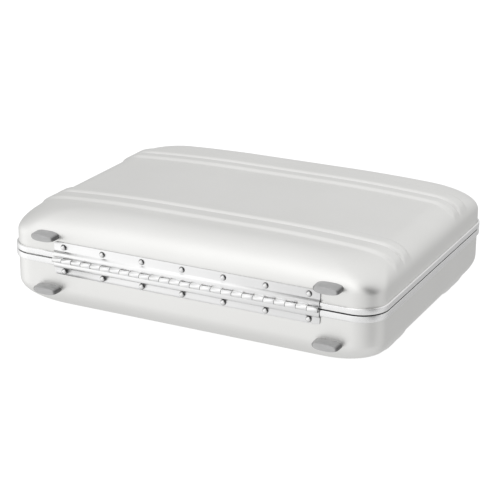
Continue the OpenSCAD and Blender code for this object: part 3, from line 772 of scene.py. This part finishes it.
def rounded_slab(lo, hi, radius, corner_r):
    """Slab with rounded corners in plan, its upper and lower edges eased by radius."""
    half_w, half_d = (hi.x - lo.x) / 2, (hi.y - lo.y) / 2
    cx, cy = (lo.x + hi.x) / 2, (lo.y + hi.y) / 2
    verts, eased = [], radius * 0.3
    levels = ((radius, lo.z), (eased, lo.z + eased), (0, lo.z + radius),
              (0, hi.z - radius), (eased, hi.z - eased), (radius, hi.z))
    for inset, z in levels:
        ring = rounded_rectangle(cx, cy, half_w - inset, half_d - inset, corner_r - inset, 9)
        verts += [(x, y, z) for x, y, _ in ring]
    bm = bmesh.new()
    made = [bm.verts.new(v) for v in verts]
    for face in tube_faces(len(levels), len(verts) // len(levels)):
        bm.faces.new([made[i] for i in face])
    return bm


def soft_block(name, lo, hi, body, voxel, start, cap, radius, corner_r=0.0):
    """Padded block in the box lo..hi: starts smaller by start on each side and swells by cap."""
    a, b = lo + Vector((start,) * 3), hi - Vector((start,) * 3)
    bm = rounded_slab(a, b, radius, corner_r) if corner_r else rounded_block(a, b, radius)
    mesh = bpy.data.meshes.new(name)
    bm.to_mesh(mesh)
    bm.free()
    obj = add_object(name, mesh)
    m = obj.modifiers.new("even_mesh", "REMESH")
    m.mode = "VOXEL"
    m.voxel_size = voxel
    apply_modifiers(obj)
    obj.data.materials.append(PADDING)
    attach(obj, body)
    soft_pieces.append((obj, lo, hi, cap))
    return obj


def coordinates(mesh, kind="co"):
    """The points of a mesh, or with kind "normal" their normals, as rows of x, y, z."""
    values = np.zeros(len(mesh.vertices) * 3)
    mesh.vertices.foreach_get(kind, values)
    return values.reshape(-1, 3)


def swell_soft_pieces():
    """One cloth run for all padded pieces: pressure from inside, no gravity, capped movement."""
    scene = bpy.context.scene
    rest = [coordinates(obj.data) for obj, *_ in soft_pieces]
    for obj, *_ in soft_pieces:
        cloth = obj.modifiers.new("swell", "CLOTH")
        cloth.settings.quality = 4
        cloth.settings.use_pressure = True
        cloth.settings.uniform_pressure_force = PRESSURE
        cloth.settings.effector_weights.gravity = 0.0
        cloth.point_cache.frame_start, cloth.point_cache.frame_end = 1, SIM_FRAMES
    for f in range(1, SIM_FRAMES + 1):
        scene.frame_set(f)
    dg = bpy.context.evaluated_depsgraph_get()
    swollen = [coordinates(obj.evaluated_get(dg).data) for obj, *_ in soft_pieces]
    for (obj, lo, hi, cap), before, after in zip(soft_pieces, rest, swollen):
        obj.modifiers.clear()
        move = after - before
        size = np.linalg.norm(move, axis=1)
        move *= np.minimum(1.0, cap / np.maximum(size, 1e-9))[:, None]
        moved = np.clip(before + move, np.array(lo), np.array(hi))
        obj.data.vertices.foreach_set("co", moved.ravel())
        obj.data.update()
    scene.frame_set(1)


def subdivide_soft_pieces():
    for obj, *_ in soft_pieces:
        m = obj.modifiers.new("smooth", "SUBSURF")
        m.levels = m.render_levels = 1
        apply_modifiers(obj)
        smooth(obj)


def sew(obj, distance, depth, width):
    """Pulls points in along the surface normal where distance(co) to a seam is small."""
    co, normals = coordinates(obj.data), coordinates(obj.data, "normal")
    pull = depth * np.exp(-(distance(co) / width) ** 2)
    obj.data.vertices.foreach_set("co", (co - normals * pull[:, None]).ravel())
    obj.data.update()


def cord(name, points, radius, body, slot, material):
    """Closed round cord through points."""
    n, k = len(points), 8
    verts = []
    for i, p in enumerate(points):
        tangent = (points[(i + 1) % n] - points[i - 1]).normalized()
        side = tangent.cross(Vector((0, 0, 1))).normalized()
        verts += [p + side * (radius * math.cos(a)) + Vector((0, 0, radius * math.sin(a)))
                  for a in np.linspace(0, 2 * math.pi, k, endpoint=False)]
    return new_piece(name, verts, ring_faces(n, k, looped=True), body, slot, material)


# ---------- materials ----------

def add_node(nt, kind, *inputs, **named):
    """A shader node; an input gets a value, or a link if the value is another node's output."""
    node = nt.nodes.new("ShaderNode" + kind)
    for key, value in (*enumerate(inputs), *named.items()):
        socket = node.inputs[key.replace("_", " ") if isinstance(key, str) else key]
        if isinstance(value, bpy.types.NodeSocket):
            nt.links.new(value, socket)
        elif value is not None:
            socket.default_value = value
    return node


def node_material(name):
    mat = bpy.data.materials.new(name)
    mat.use_nodes = True
    nt = mat.node_tree
    nt.nodes.clear()
    return mat, nt, add_node(nt, "TexCoord")


def surface(mat, **inputs):
    """Gives a material its surface shader."""
    bsdf = add_node(mat.node_tree, "BsdfPrincipled", **inputs)
    add_node(mat.node_tree, "OutputMaterial", bsdf.outputs[0])
    return mat


def noise(nt, coord, scale, detail=2.0, stretch=None):
    source = coord.outputs["Object"]
    if stretch:
        source = add_node(nt, "Mapping", source, Scale=stretch).outputs[0]
    return add_node(nt, "TexNoise", source, Scale=scale, Detail=detail).outputs["Fac"]


def ramp(nt, source, low, high, a=0.3, b=0.7):
    """Maps a value between a and b onto low..high, numbers or colours."""
    if isinstance(low, float):
        return add_node(nt, "MapRange", Value=source, From_Min=a, From_Max=b,
                        To_Min=low, To_Max=high).outputs["Result"]
    node = add_node(nt, "ValToRGB", source)
    e = node.color_ramp.elements
    e[0].position, e[1].position = a, b
    e[0].color, e[1].color = (*low, 1), (*high, 1)
    return node.outputs["Color"]


def bump(nt, height, strength, distance, normal=None):
    return add_node(nt, "Bump", Height=height, Strength=strength, Distance=distance,
                    Normal=normal).outputs["Normal"]


def math_node(nt, operation, a, b=None):
    node = add_node(nt, "Math", a, b)
    node.operation = operation
    return node.outputs[0]


def tilt(nt, coord, axis):
    """How squarely the surface faces along an axis, 0 to 1."""
    parts = add_node(nt, "SeparateXYZ", coord.outputs["Normal"])
    return math_node(nt, "ABSOLUTE", parts.outputs[axis])


def grey(value, warmth=0.0):
    """Neutral grey, or one with its blue lowered by the share warmth."""
    return (value, value * (1 - warmth / 8), value * (1 - warmth))


def shades(tone, low, high):
    return (tuple(min(1.0, c * k) for c in tone) for k in (low, high))


def blasted_aluminium():
    """Bead-blasted, clear-anodised sheet: very fine even grain, faint clouds, rare fine scuffs."""
    mat, nt, coord = node_material("blasted_aluminium")
    cloud = noise(nt, coord, 9.0, 3.0)
    grain = noise(nt, coord, 1400.0, 2.0)
    scuff = noise(nt, coord, 55.0, 6.0, (1.0, 7.0, 7.0))
    rough = math_node(nt, "ADD", ramp(nt, grain, 0.37, 0.44),
                      ramp(nt, scuff, 0.0, 0.06, 0.62, 0.75))
    return surface(mat, Metallic=1.0, Roughness=rough, Normal=bump(nt, grain, 0.08, 0.05 * MM),
                   Base_Color=ramp(nt, cloud, grey(0.89, 0.021), grey(0.915, 0.018)))


def drawn_metal(name, tone, roughness, streak, spread=0.10, relief=0.05):
    """Extruded, rolled or brushed metal: fine lines along its length and a faint cloud."""
    mat, nt, coord = node_material(name)
    lines = noise(nt, coord, 900.0, 2.0, streak)
    cloud = noise(nt, coord, 30.0, 2.0)
    return surface(mat, Metallic=1.0, Roughness=ramp(nt, lines, roughness, roughness + spread),
                   Base_Color=ramp(nt, cloud, grey(tone), grey(min(tone + 0.03, 1.0))),
                   Normal=bump(nt, lines, relief, 0.03 * MM))


def edge_metal_painted_shade():
    """Cut edges of the hinge strip: painted shade darkens the edges that face along X, the long
    edges stay paler, with a faint random burr.
    """
    mat, nt, coord = node_material("cut_edge_painted_shade")
    burr = noise(nt, coord, 500.0, 2.0)
    # painted shade: an edge's colour darkens the more it faces along X
    cut = math_node(nt, "ADD", tilt(nt, coord, "X"), ramp(nt, burr, -0.05, 0.05))
    return surface(mat, Metallic=1.0, Roughness=ramp(nt, burr, 0.38, 0.55),
                   Base_Color=ramp(nt, cut, grey(0.74), grey(0.08)))


def polished_metal(name, tone, roughness):
    """Polished rivet steel: fine smears, and painted shade that darkens the head towards its rim.
    """
    mat, nt, coord = node_material(name)
    smear = noise(nt, coord, 260.0, 3.0)
    # painted shade: the colour falls to near black where the head turns away from Y, at its rim
    rim_shade_mask = math_node(nt, "ADD", tilt(nt, coord, "Y"), ramp(nt, smear, -0.04, 0.04))
    return surface(mat, Metallic=1.0, Roughness=ramp(nt, smear, roughness, roughness + 0.08),
                   Base_Color=ramp(nt, rim_shade_mask, grey(tone * 0.04), grey(tone), 0.42, 0.94))


def moulded(name, tone, roughness, grain_scale, grain):
    """Moulded rubber: spark-eroded grain and a slightly cloudy tone."""
    mat, nt, coord = node_material(name)
    pores = noise(nt, coord, grain_scale, 3.0)
    cloud = noise(nt, coord, 60.0, 3.0)
    return surface(mat, Base_Color=ramp(nt, cloud, *shades(tone, 0.93, 1.07)),
                   Roughness=ramp(nt, pores, roughness - 0.06, roughness + 0.06),
                   Normal=bump(nt, pores, grain, 0.08 * MM))


def scuffed_plastic_with_end_shade(name, end_shade_tone, face_tone):
    """Moulded plastic with faint random scuffs, and painted shade that makes its end faces dark."""
    mat, nt, coord = node_material(name)
    pores = noise(nt, coord, 900.0, 3.0)
    scuff = noise(nt, coord, 120.0, 4.0, (1.0, 1.0, 4.0))
    # painted shade: faces turned along X get the dark end tone
    end = ramp(nt, tilt(nt, coord, "X"), 0.0, 1.0, 0.35, 0.85)
    wear_and_end_shade = math_node(nt, "SUBTRACT", ramp(nt, scuff, 0.86, 1.0), end)
    return surface(mat, Base_Color=ramp(nt, wear_and_end_shade, grey(end_shade_tone), grey(face_tone), 0.0, 1.0),
                   Roughness=ramp(nt, pores, 0.34, 0.46), Normal=bump(nt, pores, 0.25, 0.08 * MM))


def threads(nt, coord, axis, pitch):
    """Rounded threads that repeat along an axis every pitch."""
    wave = add_node(nt, "TexWave", coord.outputs["Object"], Scale=math.pi / (10 * pitch),
                    Distortion=0.6, Detail=1.0)
    wave.bands_direction = axis
    return wave.outputs["Fac"]


def fabric(name, tone, pitch, fluff, sheen):
    """Woven or knitted cloth: crossed threads, a fluffy pile over them, colour by fibre."""
    mat, nt, coord = node_material(name)
    weave = math_node(nt, "ADD", threads(nt, coord, "X", pitch), threads(nt, coord, "Y", pitch))
    weave = math_node(nt, "ADD", weave, threads(nt, coord, "Z", pitch))
    pile = noise(nt, coord, 1.3 / pitch, 4.0)
    cloud = noise(nt, coord, 14.0, 3.0)
    mixed = math_node(nt, "ADD", math_node(nt, "MULTIPLY", pile, 0.6),
                      math_node(nt, "MULTIPLY", cloud, 0.4))
    woven = bump(nt, weave, 0.35 * (1 - fluff), 0.35 * MM)
    return surface(mat, Base_Color=ramp(nt, mixed, *shades(tone, 0.72, 1.25), 0.38, 0.62),
                   Roughness=0.92, Sheen_Weight=sheen, Sheen_Roughness=0.45,
                   Normal=bump(nt, pile, 0.5 * fluff + 0.1, 0.4 * MM, woven))


ALUMINIUM = blasted_aluminium()
BAND = drawn_metal("bright_rim", 0.96, 0.20, (1.0, 1.0, 12.0))
HINGE = drawn_metal("hinge_strip", 0.95, 0.33, (0.04, 1.0, 1.0), 0.05, 0.02)
FITTING = drawn_metal("satin_fitting", 0.66, 0.16, (1.0, 1.0, 0.1), 0.12, 0.03)
# hinge strip edges, with painted shade on their end faces
CUT_EDGE_SHADED = edge_metal_painted_shade()
STEEL = drawn_metal("brushed_steel", 0.62, 0.25, (0.1, 1.0, 1.0))
# rivet heads with painted shade towards their rims
RIVET = polished_metal("rivet_head", 0.88, 0.02)
# feet, with painted shade on their end faces
FOOT = scuffed_plastic_with_end_shade("foot_plastic", 0.12, 0.47)
GRIP = moulded("grip_rubber", grey(0.035), 0.55, 700.0, 0.35)
GASKET_AND_SEAM_SHADE = moulded("gasket_rubber_and_seam_shade", grey(0.02), 0.6, 1200.0, 0.2)
LINING = fabric("pile_lining", (0.030, 0.030, 0.034), 0.9 * MM, 0.9, 0.25)
PADDING = fabric("knitted_padding", (0.050, 0.050, 0.056), 1.3 * MM, 0.35, 0.2)


# ---------- build ----------

# head radius, head height, shank radius
HINGE_RIVET = (3.5 * MM, 2.95 * MM, 1.6 * MM)
SMALL_RIVET = (2.4 * MM, 1.3 * MM, 1.5 * MM)
# what the front rivets' heads sit on: handle bracket, latch body, keeper
PLATE_T, LATCH_T, KEEPER_T = 2.5 * MM, 5 * MM, 1.5 * MM

for part in ("lid", "base"):
    make_shell(part, ALUMINIUM)
    make_lining(part, LINING)
    make_band(part, BAND)
    make_leaf(part, HINGE, CUT_EDGE_SHADED)
    make_feet(part, FOOT)
    make_rivets(part + "_hinge_rivets", part, HINGE_RIVET, LEAF_T, 1, RIVET)
make_gasket(GASKET_AND_SEAM_SHADE)
# black strip in the seam groove: painted shade
make_seam_shade_strip(GASKET_AND_SEAM_SHADE)

make_grip(GRIP)
make_arms(FITTING)
for part in ("left", "right"):
    make_button(part, STEEL)
    make_hasp(part, FITTING)
make_rivets("handle_rivets", "base", SMALL_RIVET, PLATE_T, -1, RIVET)
make_rivets("latch_rivets", "base", SMALL_RIVET, LATCH_T, -1, RIVET)
make_rivets("keeper_rivets", "lid", SMALL_RIVET, KEEPER_T, -1, RIVET)

DRESSED = [  # material, broken edge in mm, CAD nodes
    (FITTING, 0.5, ("handle_brackets", "left_latch_body", "right_latch_body")),
    (FITTING, 0.3, ("latch_keepers",)),
    (STEEL, 0.3, ("handle_pins",)),
    (STEEL, 0.2, ("hasp_pins", "hinge_pin", "left_knee_pin", "right_knee_pin")),
    (STEEL, 0.0, ("base_foot_screws", "lid_foot_screws")),
    (STEEL, 0.25, ("stay_base_brackets", "stay_lid_brackets", "left_lower_stay",
                   "right_lower_stay", "left_upper_stay", "right_upper_stay")),
]
for metal, edge, nodes in DRESSED:
    for node in nodes:
        dress(node, metal, edge * MM)


def make_interior():
    """Padded lid, floor, sides and dividers; the lid pad is sewn down over the dividers."""
    dividers = solid_boxes("tray_cross_dividers")
    long_lo, long_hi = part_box("tray_long_divider")
    field = dividers[-1][1].x
    side_lo, side_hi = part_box("tray_side_pads")
    floor_lo, floor_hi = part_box("tray_floor_pad")
    pad_lo, pad_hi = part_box("lid_pad")
    step = floor_hi.z - 7 * MM
    under_in = Vector((22 * MM, 22 * MM, 0))

    def block(name, lo, hi, *sizes, body="base"):
        """A padded block; sizes are voxel, start, cap, radius and corner_r in millimetres."""
        return soft_block(name, Vector(lo), Vector(hi), body, *(size * MM for size in sizes))

    lid_pad = block("lid_pad_quilted", pad_lo, pad_hi, 5, 3.5, 5, 6, 44, body="lid")
    floor_pad = block("tray_floor_padding", (floor_lo.x, floor_lo.y, step), floor_hi,
                      4.5, 1.2, 2, 2, 40)
    block("tray_floor_underlay", floor_lo + under_in, (*(floor_hi - under_in).xy, step),
          6, 0.8, 1, 2, 50)
    long_wall = block("tray_long_wall", long_lo, long_hi, 2.8, 1.6, 2, 2.6)
    cross_wall = block("tray_cross_wall_1", *dividers[0], 2.4, 1.4, 1.8, 2.2)
    side_fields = {  # lowest x and y, highest x and y
        "front": (-field, side_lo.y, field, long_lo.y),
        "hinge": (-field, long_hi.y, field, side_hi.y),
        "left": (side_lo.x, long_lo.y, -field, long_hi.y),
        "right": (field, long_lo.y, side_hi.x, long_hi.y),
    }
    sides = [block("tray_%s_padding" % name, (x0, y0, side_lo.z), (x1, y1, side_hi.z),
                   4, 1.6, 2.5, 5)
             for name, (x0, y0, x1, y1) in side_fields.items()]
    swell_soft_pieces()
    subdivide_soft_pieces()

    rows = sorted({round((lo.y + hi.y) / 2, 5) for lo, hi in dividers})

    def to_channels(co):
        """Distance to the sewn channels: over each row of cross walls and down the middle."""
        across = np.min([abs(co[:, 1] - y) for y in rows], axis=0)
        return np.minimum(across, abs(co[:, 0]))

    sew(lid_pad, to_channels, 3.2 * MM, 4.0 * MM)
    for wall, axis in ((long_wall, 0), (cross_wall, 1)):
        mid = coordinates(wall.data)[:, axis].mean()
        top = coordinates(wall.data)[:, 2].max()
        sew(wall, lambda co: np.hypot(co[:, axis] - mid, (co[:, 2] - top) / 2), 0.8 * MM, 1.3 * MM)
    seam_z = side_hi.z - 6 * MM
    for pad in sides:
        sew(pad, lambda co: abs(co[:, 2] - seam_z), 1.1 * MM, 1.6 * MM)

    for i, (lo, _) in enumerate(dividers[1:]):
        mesh = cross_wall.data.copy()
        mesh.transform(Matrix.Translation(lo - dividers[0][0]))
        wall = add_object("tray_cross_wall_%d" % (i + 2), mesh)
        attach(wall, "base")

    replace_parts(lid_pad, "lid_pad")
    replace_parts(floor_pad, "tray_floor_pad")
    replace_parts(long_wall, "tray_long_divider")
    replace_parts(cross_wall, "tray_cross_dividers")
    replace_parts(sides[0], "tray_side_pads")

    # piping round the lid pad's face
    inset, r = 5 * MM, 41 * MM
    path = [Vector((x, y, pad_lo.z + 4 * MM)) for x, y, _ in
            rounded_rectangle(0, 0, pad_hi.x - inset, pad_hi.y - inset, r, 17)]
    dense = []
    for p, q in zip(path, path[1:] + path[:1]):
        parts = max(1, int((q - p).length / (6 * MM)))
        dense += [p.lerp(q, t / parts) for t in range(parts)]
    cord("lid_pad_piping", dense, 1.8 * MM, "lid", "pad", LINING)


make_interior()


# ---------- floor, light and camera ----------

FLOOR_SIZE = 14.0
FLOOR_GLOW = 0.86


def make_floor():
    """Pale paper sweep, lit so brightly that the case casts only a faint shadow on it."""
    half = FLOOR_SIZE / 2
    mesh = bpy.data.meshes.new("floor")
    mesh.from_pydata([(-half, -half, 0), (half, -half, 0), (half, half, 0), (-half, half, 0)], [],
                     [(0, 1, 2, 3)])
    floor = add_object("floor", mesh)
    mat, nt, coord = node_material("paper")
    fibre = noise(nt, coord, 400.0, 3.0)
    surface(mat, Base_Color=ramp(nt, fibre, grey(0.30), grey(0.32)), Roughness=1.0,
            Emission_Color=(1, 1, 1, 1), Emission_Strength=FLOOR_GLOW)
    mesh.materials.append(mat)
    floor.visible_glossy = False


STUDIO_BASE = 0.91
STUDIO_LOBES = [  # direction, sharpness, strength; left and right as the camera sees them
    ((0.20, 0.60, 0.75), 6.0, 0.95),      # large softbox above the hinge side
    ((0.40, 0.45, 0.80), 6.0, -0.35),     # gap beside the softbox
    ((0.30, -0.30, 0.90), 6.0, 0.22),     # ceiling
    ((-0.60, -0.60, 0.50), 6.0, 0.18),    # far wall
    ((-0.20, 0.95, 0.20), 6.0, 0.08),     # wall behind the camera
    ((0.45, 0.88, 0.02), 10.0, 0.14),     # bounce board beside the camera
    ((0.42, 0.84, -0.35), 6.0, 0.12),     # pale table
    ((0.90, 0.30, -0.10), 6.0, 0.50),     # window at the left
    ((0.80, -0.55, 0.20), 6.0, -0.23),    # beyond the window
    ((-0.42, -0.84, -0.35), 6.0, -0.30),  # shaded floor at the right
    ((-0.92, 0.36, 0.10), 12.0, -0.88),   # dark doorway at the right
    ((-0.58, 0.49, 0.62), 20.0, -0.98),   # black flag over the right corner
]


def make_studio():
    """World: pure white to the camera, a soft-lit studio to everything else."""
    world = bpy.data.worlds.new("studio")
    bpy.context.scene.world = world
    world.use_nodes = True
    nt = world.node_tree
    nt.nodes.clear()
    direction = add_node(nt, "TexCoord").outputs["Generated"]
    total = STUDIO_BASE
    for centre, sharpness, strength in STUDIO_LOBES:
        dot = add_node(nt, "VectorMath", direction, Vector(centre).normalized())
        dot.operation = "DOT_PRODUCT"
        facing = math_node(nt, "MAXIMUM", dot.outputs["Value"], 0.0)
        lobe = math_node(nt, "MULTIPLY", math_node(nt, "POWER", facing, sharpness), strength)
        total = math_node(nt, "ADD", lobe, total)
    studio = add_node(nt, "Background", Strength=math_node(nt, "MAXIMUM", total, 0.01))
    white, path = add_node(nt, "Background"), add_node(nt, "LightPath")
    mix = add_node(nt, "MixShader", path.outputs["Is Camera Ray"], studio.outputs[0],
                   white.outputs[0])
    add_node(nt, "OutputWorld", mix.outputs[0])


OVERHEAD_AT = Vector((0.6, 0.9, 2.2))
OVERHEAD_SIZE = 2.4
OVERHEAD_POWER = 1.0


def make_overhead():
    """Large weak softbox over the hinge side, aimed at the case."""
    data = bpy.data.lights.new("overhead", "AREA")
    data.energy, data.size = OVERHEAD_POWER, OVERHEAD_SIZE
    lamp = add_object("overhead", data)
    lamp.location = OVERHEAD_AT
    lamp.rotation_euler = (-OVERHEAD_AT).to_track_quat("-Z", "Y").to_euler()


CAMERA_AZIMUTH = 206.46
CAMERA_ELEVATION = 20.26
CAMERA_ROLL = 0.30
CAMERA_DISTANCE = 1.8188
CAMERA_TARGET = Vector((-14.0 * MM, D / 2 - 136.9 * MM, SEAM - 5.1 * MM))
CAMERA_LENS = 112.5


def make_camera():
    """Camera on the hinge side; azimuth turns from the front, angles in degrees."""
    data = bpy.data.cameras.new("camera")
    data.lens = CAMERA_LENS
    data.sensor_width = 36
    data.clip_start, data.clip_end = 0.01, 50
    cam = add_object("camera", data)
    a, e = math.radians(CAMERA_AZIMUTH), math.radians(CAMERA_ELEVATION)
    back = Vector((math.sin(a) * math.cos(e), -math.cos(a) * math.cos(e), math.sin(e)))
    cam.location = CAMERA_TARGET + back * CAMERA_DISTANCE
    cam.rotation_mode = "QUATERNION"
    roll = Quaternion((0, 0, 1), math.radians(CAMERA_ROLL))
    cam.rotation_quaternion = (-back).to_track_quat("-Z", "Y") @ roll
    bpy.context.scene.camera = cam


make_floor()
make_studio()
make_overhead()
make_camera()
bpy.context.scene.view_settings.view_transform = "Standard"
